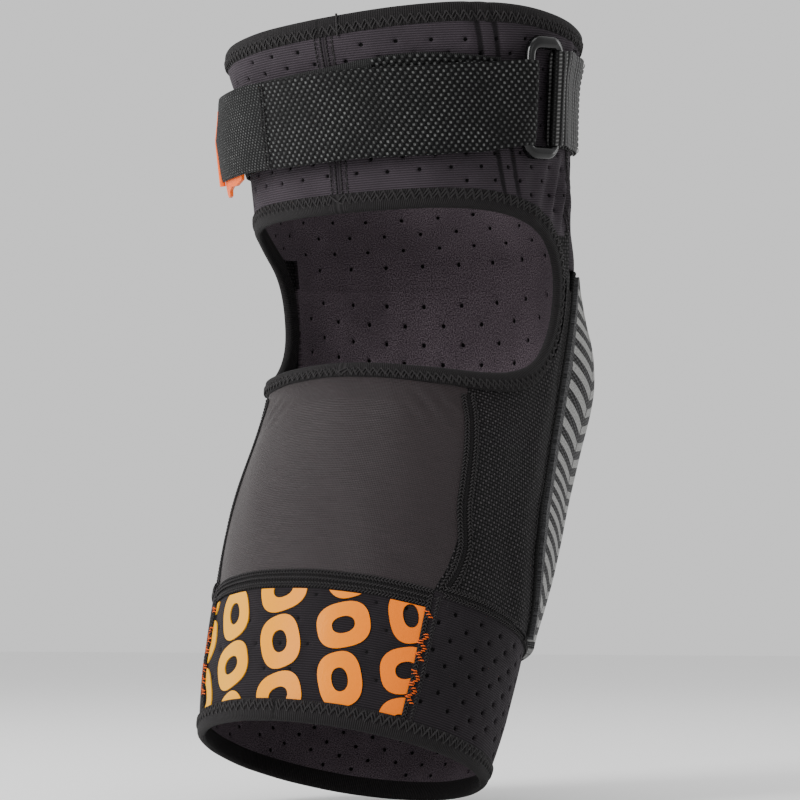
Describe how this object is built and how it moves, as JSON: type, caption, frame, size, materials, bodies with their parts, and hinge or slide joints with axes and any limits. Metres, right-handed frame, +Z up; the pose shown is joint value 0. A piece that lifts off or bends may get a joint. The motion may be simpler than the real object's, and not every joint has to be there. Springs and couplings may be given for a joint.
{
  "type": "knee guard",
  "caption": "Slip-on padded knee guard: elastic sleeve open behind the knee, foam pads under a woven cover, thigh strap through a ring, calf grip band.",
  "frame": {"origin": "centre of the knee, on its flexing axis, inside the empty sleeve", "axes": "+Z up the leg, -Y to the front (pads), +Y to the back (calf and cut-out), X along the knee's flexing axis; shaped on a leg bent by 25.5 degrees"},
  "size_m": [0.1625, 0.1985, 0.327],
  "materials": {
    "perforated_neoprene": "matt ribbed neoprene with small punched holes, very dark aubergine grey",
    "neoprene": "matt knitted face on neoprene",
    "liner": "matt brushed purple-grey knit with punched holes",
    "stretch_knit": "smooth black knit with a soft sheen and fine cross ribs",
    "ballistic": "coarse black basket weave",
    "cover": "dark grey woven face with pale grey chevron stripes",
    "elastic": "black elastic binding with zigzag stitching",
    "webbing": "black elastic webbing with a coarse raised weave",
    "hook": "black moulded hooks",
    "ring_plastic": "glossy black moulded plastic",
    "tab_orange": "satin bright orange",
    "silicone": "satin dark silicone tape",
    "foam": "matt dense grey foam"
  },
  "bodies": {
    "shin_section": {"calf_panel": "stretch_knit", "calf_grip_band": "perforated_neoprene", "lower_cuff": "perforated_neoprene", "bottom_binding": "elastic", "shin_liner": "liner", "side_panel_left": "ballistic", "side_panel_right": "ballistic", "knee_pad": "foam", "shin_pad": "foam", "pad_cover": "cover", "cover_piping": "elastic"},
    "thigh_section": {"thigh_cuff_left": "perforated_neoprene", "thigh_cuff_right": "perforated_neoprene", "thigh_front_panel": "neoprene", "top_binding": "elastic", "thigh_grip_tape": "silicone", "cutout_binding": "elastic", "knee_liner": "liner", "side_gusset_left": "ballistic", "side_gusset_right": "ballistic", "strap_first_run": "webbing", "strap_pile": "webbing", "ring_tape": "webbing"},
    "ring": {"strap_ring": "ring_plastic"},
    "strap_tail": {"strap_return_run": "webbing", "strap_hook_end": "elastic", "strap_hook_patch": "hook", "pull_tab": "tab_orange"}
  },
  "joints": [
    {"name": "knee_flex", "type": "hinge", "parent": "shin_section", "child": "thigh_section", "pos_m": [0, 0, 0], "axis": [-1, 0, 0], "range_deg": [-20, 50], "stiffness_Nm_per_rad": 2, "deforming": ["cutout_binding", "knee_liner", "side_gusset_left", "side_gusset_right", "knee_pad", "pad_cover", "cover_piping"]},
    {"name": "ring_swivel", "type": "hinge", "parent": "thigh_section", "child": "ring", "pos_m": [-0.07752, 0.01221, 0.10047], "axis": [-0.1276, 0.1285, 0.9835], "range_deg": [0, 40]},
    {"name": "strap_peel", "type": "hinge", "parent": "ring", "child": "strap_tail", "pos_m": [-0.07373, 0.0287, 0.09881], "axis": [-0.1276, 0.1285, 0.9835], "range_deg": [0, 120]}
  ]
}
